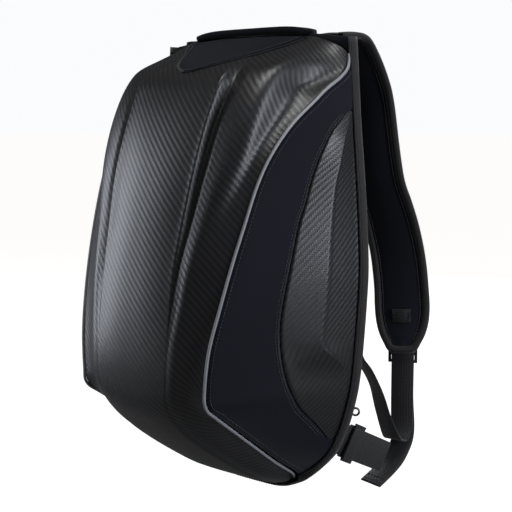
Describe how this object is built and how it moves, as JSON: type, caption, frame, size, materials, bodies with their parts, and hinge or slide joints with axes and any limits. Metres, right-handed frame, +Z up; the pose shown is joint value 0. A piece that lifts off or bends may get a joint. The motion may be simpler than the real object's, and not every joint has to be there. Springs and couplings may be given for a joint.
{
  "type": "hard shell backpack",
  "caption": "Moulded hard shell backpack with tapering front grooves, stretch side gussets, piped seams, padded back panel, carry handle and padded shoulder straps with webbing.",
  "frame": {"origin": "middle of the wearer's face of the back panel", "axes": "+Z up, +Y towards the wearer, -Y towards the shell's front, X across the bag"},
  "size_m": [0.2976, 0.3466, 0.4967],
  "materials": {
    "carbon_look": "semi-gloss moulded shell with a woven relief",
    "neoprene": "matt stretch fabric",
    "foam_back": "padded mesh fabric",
    "tape": "woven binding tape",
    "webbing": "woven nylon webbing",
    "plastic": "satin moulded plastic",
    "reflective": "silver grey piping",
    "wire": "bent wire"
  },
  "bodies": {
    "root": {"front_shell": "carbon_look", "top_patch": "neoprene", "top_band": "neoprene", "back_panel": "foam_back", "edge_binding": "tape", "carry_handle": "webbing", "pull_ring": "wire", "piping_right": "reflective", "side_gusset_right": "neoprene", "rear_wing_right": "carbon_look", "shoulder_strap_right": "foam_back", "strap_bar_right": "webbing", "ladder_lock_right": "plastic", "strap_webbing_right": "webbing", "waist_webbing_right": "webbing", "waist_slider_right": "plastic", "piping_left": "reflective", "side_gusset_left": "neoprene", "rear_wing_left": "carbon_look", "shoulder_strap_left": "foam_back", "strap_bar_left": "webbing", "ladder_lock_left": "plastic", "strap_webbing_left": "webbing", "waist_webbing_left": "webbing", "waist_slider_left": "plastic"}
  },
  "joints": []
}
